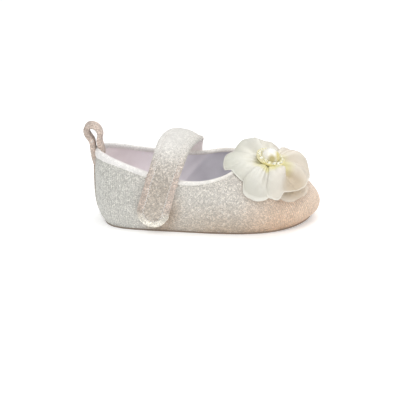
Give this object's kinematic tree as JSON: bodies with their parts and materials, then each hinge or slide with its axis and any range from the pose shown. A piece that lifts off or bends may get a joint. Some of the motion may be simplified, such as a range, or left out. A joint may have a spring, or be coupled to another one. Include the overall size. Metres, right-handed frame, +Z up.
{
  "type": "baby strap shoe",
  "caption": "Soft-soled baby strap shoe in glitter satin with a heel pull loop, an instep strap and an organza flower with a pearl brooch on the vamp.",
  "frame": {"origin": "middle of the box in plan, on the floor plane under the sole", "axes": "+X to the toe, +Y to the medial side of the foot, +Z up from the floor"},
  "size_m": [0.1218, 0.0572, 0.0506],
  "materials": {
    "glitter_satin": "off-white glitter cloth, fine silvery grain",
    "strap_satin": "beige glitter cloth, coarser grain",
    "sole_cloth": "matt brownish grey cloth",
    "lining": "smooth pale lavender grey lining",
    "organza": "sheer ivory organza with a soft sheen",
    "gold": "polished gold colour",
    "pearl": "glossy pearl coat",
    "crystal": "clear faceted bead"
  },
  "bodies": {
    "root": {"outsole": "sole_cloth", "insole": "lining", "upper": "glitter_satin", "back_seam": "glitter_satin", "pull_loop": "strap_satin", "strap": "strap_satin", "flower_core": "organza", "brooch_dish": "gold", "brooch_pearl": "pearl", "petal_heel": "organza", "petal_throat": "organza", "petal_medial": "organza", "petal_front": "organza", "petal_toe": "organza", "petal_lateral": "organza", "bead_01": "crystal", "bead_02": "crystal", "bead_03": "crystal", "bead_04": "crystal", "bead_05": "crystal", "bead_06": "crystal", "bead_07": "crystal", "bead_08": "crystal", "bead_09": "crystal", "bead_10": "crystal", "bead_11": "crystal", "bead_12": "crystal", "bead_13": "crystal", "bead_14": "crystal", "bead_15": "crystal"}
  },
  "joints": []
}
